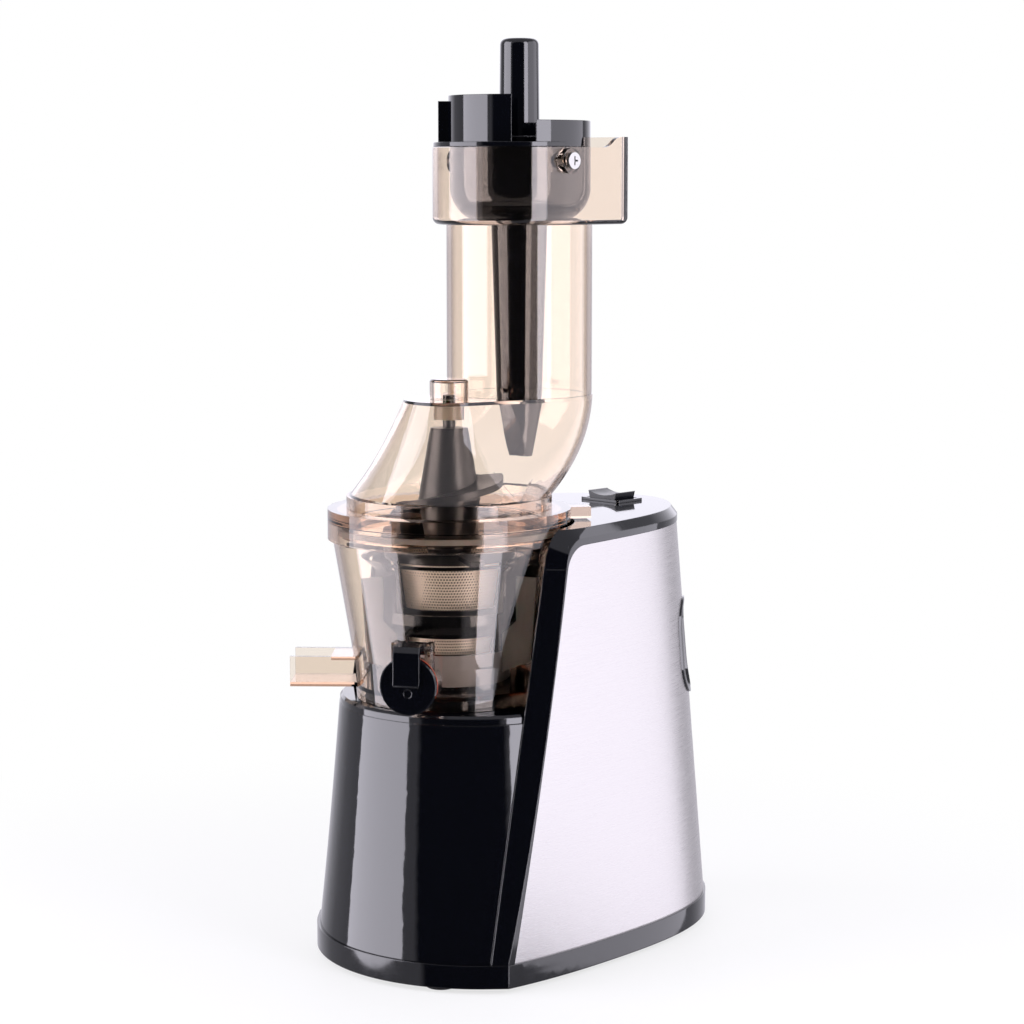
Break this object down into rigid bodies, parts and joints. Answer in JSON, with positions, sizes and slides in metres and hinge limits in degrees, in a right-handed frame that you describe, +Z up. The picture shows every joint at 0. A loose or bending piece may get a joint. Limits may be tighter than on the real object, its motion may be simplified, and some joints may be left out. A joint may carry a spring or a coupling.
{
  "type": "cold press juicer",
  "caption": "Upright cold press juicer: steel-clad motor base with a clear bowl, auger and strainer, lid with wide feed chute, tipping hopper and pusher.",
  "frame": {"origin": "on the drive shaft's axis, at the ground under the feet", "axes": "+Z up the drive shaft, -Y towards the bowl's spouts at the front, +X to the appliance's right"},
  "size_m": [0.1642, 0.264, 0.519],
  "materials": {
    "black_plastic": "gloss black moulded ABS",
    "frame_plastic": "dark moulded plastic, unseen inside",
    "steel_skin": "fine brushed stainless steel sheet",
    "steel_part": "turned or ground steel",
    "rubber": "soft rubber",
    "silicone": "orange-red silicone",
    "seal_silicone": "grey silicone",
    "clear_smoke": "clear smoke-tinted food plastic",
    "ultem": "dark hard food plastic",
    "mesh_steel": "etched stainless mesh",
    "gear_plastic": "natural acetal",
    "aluminium": "die-cast aluminium",
    "motor_steel": "plated motor steel",
    "magnet": "ferrite",
    "core": "lacquered core laminations and windings",
    "copper": "copper segments",
    "board": "circuit board",
    "components": "capacitors and relays"
  },
  "bodies": {
    "base": {"base_pan": "black_plastic", "rubber_feet": "rubber", "base_screws": "steel_part", "front_shell": "black_plastic", "deck": "black_plastic", "shaft_seal": "rubber", "steel_wrap": "steel_skin", "rear_frame": "black_plastic", "trim_right": "black_plastic", "trim_left": "black_plastic", "grip_cup_right": "black_plastic", "grip_cup_left": "black_plastic", "power_inlet": "black_plastic", "inlet_pins": "steel_part", "top_cover": "black_plastic", "switch_body": "black_plastic", "rocker_pin": "steel_part", "gear_case": "aluminium", "gear_cover": "aluminium", "gear_pins": "steel_part", "drive_bearings": "steel_part", "motor_can": "motor_steel", "motor_bell": "frame_plastic", "motor_bearings": "steel_part", "motor_magnets": "magnet", "control_board": "board", "board_parts": "components", "lock_sensor": "components"},
    "rocker": {"rocker": "black_plastic"},
    "rotor": {"motor_shaft": "steel_part", "motor_pinion": "steel_part", "rotor_core": "core", "commutator": "copper", "motor_fan": "frame_plastic"},
    "first_wheel": {"first_gear": "gear_plastic"},
    "second_wheel": {"second_gear": "gear_plastic"},
    "drive": {"drive_shaft": "steel_part", "output_gear": "gear_plastic"},
    "bowl": {"bowl": "clear_smoke", "bowl_seal": "seal_silicone", "lever_pin": "steel_part", "strainer_frame": "ultem", "strainer_mesh": "mesh_steel"},
    "cap": {"juice_cap": "black_plastic", "cap_gasket": "silicone", "cap_lever": "black_plastic"},
    "auger": {"auger": "ultem", "auger_socket": "steel_part"},
    "brush": {"brush_frame": "ultem", "wiper_blades": "seal_silicone"},
    "idler": {"brush_idler": "gear_plastic"},
    "lid_ring": {"lid_gasket": "seal_silicone"},
    "lid": {"lid": "clear_smoke", "bearing_cap": "clear_smoke", "top_bush": "gear_plastic", "feed_chute": "clear_smoke", "hopper": "clear_smoke", "pivot_screws": "steel_part"},
    "flap": {"feed_flap": "black_plastic"},
    "pusher": {"pusher": "ultem"}
  },
  "joints": [
    {"name": "rocker_tilt", "type": "hinge", "parent": "base", "child": "rocker", "pos_m": [0, 0.135, 0.248], "axis": [0, 1, 0], "range_deg": [-7, 7]},
    {"name": "motor_spin", "type": "hinge", "parent": "base", "child": "rotor", "pos_m": [0, 0.11, 0], "axis": [0, 0, 1], "continuous": true},
    {"name": "first_spin", "type": "hinge", "parent": "base", "child": "first_wheel", "pos_m": [-0.01296, 0.08295, 0], "axis": [0, 0, 1], "continuous": true},
    {"name": "second_spin", "type": "hinge", "parent": "base", "child": "second_wheel", "pos_m": [0.01847, 0.05074, 0], "axis": [0, 0, 1], "continuous": true},
    {"name": "drive_spin", "type": "hinge", "parent": "base", "child": "drive", "pos_m": [0, 0, 0], "axis": [0, 0, 1], "continuous": true},
    {"name": "bowl_lift", "type": "slide", "parent": "base", "child": "bowl", "axis": [0, 0, 1], "range_m": [0, 0.06]},
    {"name": "cap_hinge", "type": "hinge", "parent": "bowl", "child": "cap", "pos_m": [0.03028, -0.05695, 0.189], "axis": [-0.8829, -0.4695, 0], "range_deg": [0, 80]},
    {"name": "auger_spin", "type": "hinge", "parent": "bowl", "child": "auger", "pos_m": [0, 0, 0], "axis": [0, 0, 1], "continuous": true},
    {"name": "idler_spin", "type": "hinge", "parent": "bowl", "child": "idler", "pos_m": [0, 0.016, 0], "axis": [0, 0, 1], "continuous": true},
    {"name": "brush_spin", "type": "hinge", "parent": "bowl", "child": "brush", "pos_m": [0, 0, 0], "axis": [0, 0, 1], "continuous": true},
    {"name": "lid_lift", "type": "slide", "parent": "bowl", "child": "lid_ring", "axis": [0, 0, 1], "range_m": [0, 0.06]},
    {"name": "lid_turn", "type": "hinge", "parent": "lid_ring", "child": "lid", "pos_m": [0, 0, 0], "axis": [0, 0, 1], "range_deg": [0, 30]},
    {"name": "flap_tilt", "type": "hinge", "parent": "lid", "child": "flap", "pos_m": [0, 0.0475, 0.4505], "axis": [-1, 0, 0], "range_deg": [0, 5]},
    {"name": "pusher_lift", "type": "slide", "parent": "flap", "child": "pusher", "axis": [0, 0, 1], "range_m": [0, 0.14]}
  ],
  "couplings": [
    {"joint": "first_spin", "follows": "motor_spin", "ratio": -0.25},
    {"joint": "second_spin", "follows": "motor_spin", "ratio": 0.0625},
    {"joint": "drive_spin", "follows": "motor_spin", "ratio": -0.017857},
    {"joint": "auger_spin", "follows": "motor_spin", "ratio": -0.017857},
    {"joint": "idler_spin", "follows": "motor_spin", "ratio": 0.029762},
    {"joint": "brush_spin", "follows": "motor_spin", "ratio": 0.0081169}
  ]
}
